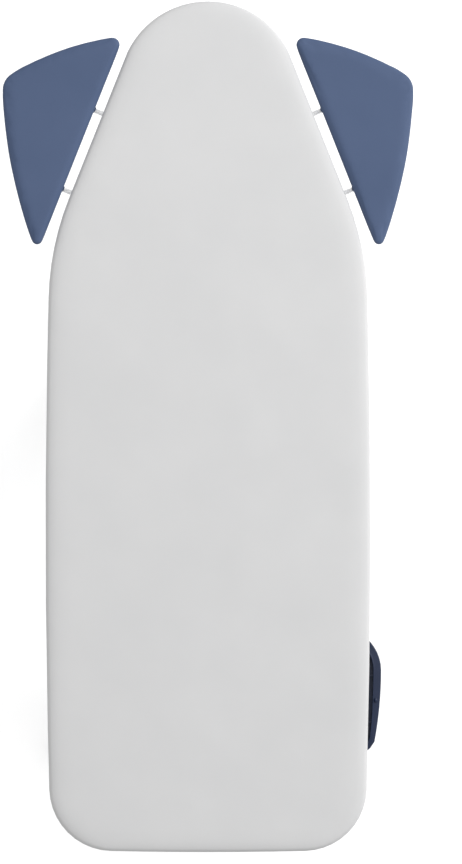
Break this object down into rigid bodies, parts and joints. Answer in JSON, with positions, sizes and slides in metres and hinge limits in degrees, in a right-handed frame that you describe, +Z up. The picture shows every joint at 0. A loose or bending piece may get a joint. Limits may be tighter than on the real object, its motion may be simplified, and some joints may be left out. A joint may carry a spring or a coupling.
{
  "type": "ironing board",
  "caption": "Free-standing ironing board with padded top, fold-down side wings, scissor legs and a squeeze release lever.",
  "frame": {"origin": "on the floor under the middle of the board, in the standing pose", "axes": "+Z up, +Y along the board to its nose, +X to the side with the release lever"},
  "size_m": [0.5794, 1.2, 0.9],
  "materials": {
    "cover_cloth": "coated cotton, soft satin",
    "drawcord": "braided",
    "felt": "needled felt",
    "frame_paint": "satin powder coat",
    "leg_paint": "satin powder coat",
    "white_paint": "white powder coat",
    "zinc_steel": "zinc plated",
    "bright_steel": "turned, bright",
    "spring_steel": "oiled",
    "nylon": "natural nylon",
    "dark_plastic": "moulded",
    "foot_rubber": "matt",
    "handle_plastic": "moulded, semi-gloss",
    "wing_cloth": "coated cotton, soft satin",
    "wing_foam": "open foam"
  },
  "bodies": {
    "board": {"cover": "cover_cloth", "drawcord": "drawcord", "pad": "felt", "top_panel": "frame_paint", "rim_frame": "frame_paint", "brace_tail": "frame_paint", "brace_hinge": "frame_paint", "brace_middle": "frame_paint", "brace_shoulder": "frame_paint", "brace_nose": "frame_paint", "rail_left": "zinc_steel", "rail_right": "zinc_steel", "hangers_left": "zinc_steel", "hangers_right": "zinc_steel", "hinge_axle": "bright_steel", "hinge_axle_caps": "bright_steel", "hinge_spacers": "dark_plastic", "lever_bearing_tail": "zinc_steel", "lever_bearing_middle": "zinc_steel", "lever_bearing_nose": "zinc_steel", "lever_spring": "spring_steel", "wing_bearings_left": "zinc_steel", "wing_bearings_right": "zinc_steel", "rivets": "bright_steel"},
    "outer_leg": {"outer_tube_left": "leg_paint", "outer_tube_right": "leg_paint", "outer_foot_tube": "leg_paint", "outer_foot_caps": "foot_rubber", "outer_leg_brace": "leg_paint", "outer_tube_plugs": "dark_plastic", "cross_bolt": "bright_steel", "cross_bolt_nuts": "bright_steel", "cross_washers": "nylon"},
    "inner_leg": {"inner_tube_left": "leg_paint", "inner_tube_right": "leg_paint", "inner_foot_tube": "leg_paint", "inner_foot_caps": "foot_rubber", "inner_brace_upper": "leg_paint", "inner_brace_lower": "leg_paint", "inner_tube_plugs": "dark_plastic", "slide_pin": "bright_steel", "slide_bushes": "nylon", "slide_pin_clips": "bright_steel"},
    "lever": {"lever_shaft": "bright_steel", "lever_handle": "handle_plastic", "latch_comb": "zinc_steel", "latch_arms": "zinc_steel", "lever_screws": "bright_steel"},
    "wing_left": {"wing_cover_left": "wing_cloth", "wing_pad_left": "wing_foam", "wing_plate_left": "frame_paint", "wing_frame_left": "white_paint", "wing_clips_left": "white_paint", "wing_collars_left": "dark_plastic"},
    "wing_right": {"wing_cover_right": "wing_cloth", "wing_pad_right": "wing_foam", "wing_plate_right": "frame_paint", "wing_frame_right": "white_paint", "wing_clips_right": "white_paint", "wing_collars_right": "dark_plastic"}
  },
  "joints": [
    {"name": "leg_fold", "type": "hinge", "parent": "board", "child": "outer_leg", "pos_m": [0, -0.4, 0.84], "axis": [1, 0, 0], "range_deg": [0, 53.05]},
    {"name": "leg_cross", "type": "hinge", "parent": "outer_leg", "child": "inner_leg", "pos_m": [0, -0.14548, 0.46898], "axis": [1, 0, 0], "range_deg": [-106.11, 0]},
    {"name": "lever_squeeze", "type": "hinge", "parent": "board", "child": "lever", "pos_m": [0.175, 0, 0.862], "axis": [0, -1, 0], "range_deg": [-5, 8], "stiffness_Nm_per_rad": 1.5},
    {"name": "wing_left_fold", "type": "hinge", "parent": "board", "child": "wing_left", "pos_m": [-0.14266, 0.37514, 0.86], "axis": [-0.3697, -0.9291, 0], "range_deg": [0, 90]},
    {"name": "wing_right_fold", "type": "hinge", "parent": "board", "child": "wing_right", "pos_m": [0.14266, 0.37514, 0.86], "axis": [-0.3697, 0.9291, 0], "range_deg": [0, 90]}
  ],
  "couplings": [
    {"joint": "leg_cross", "follows": "leg_fold", "ratio": -2}
  ]
}
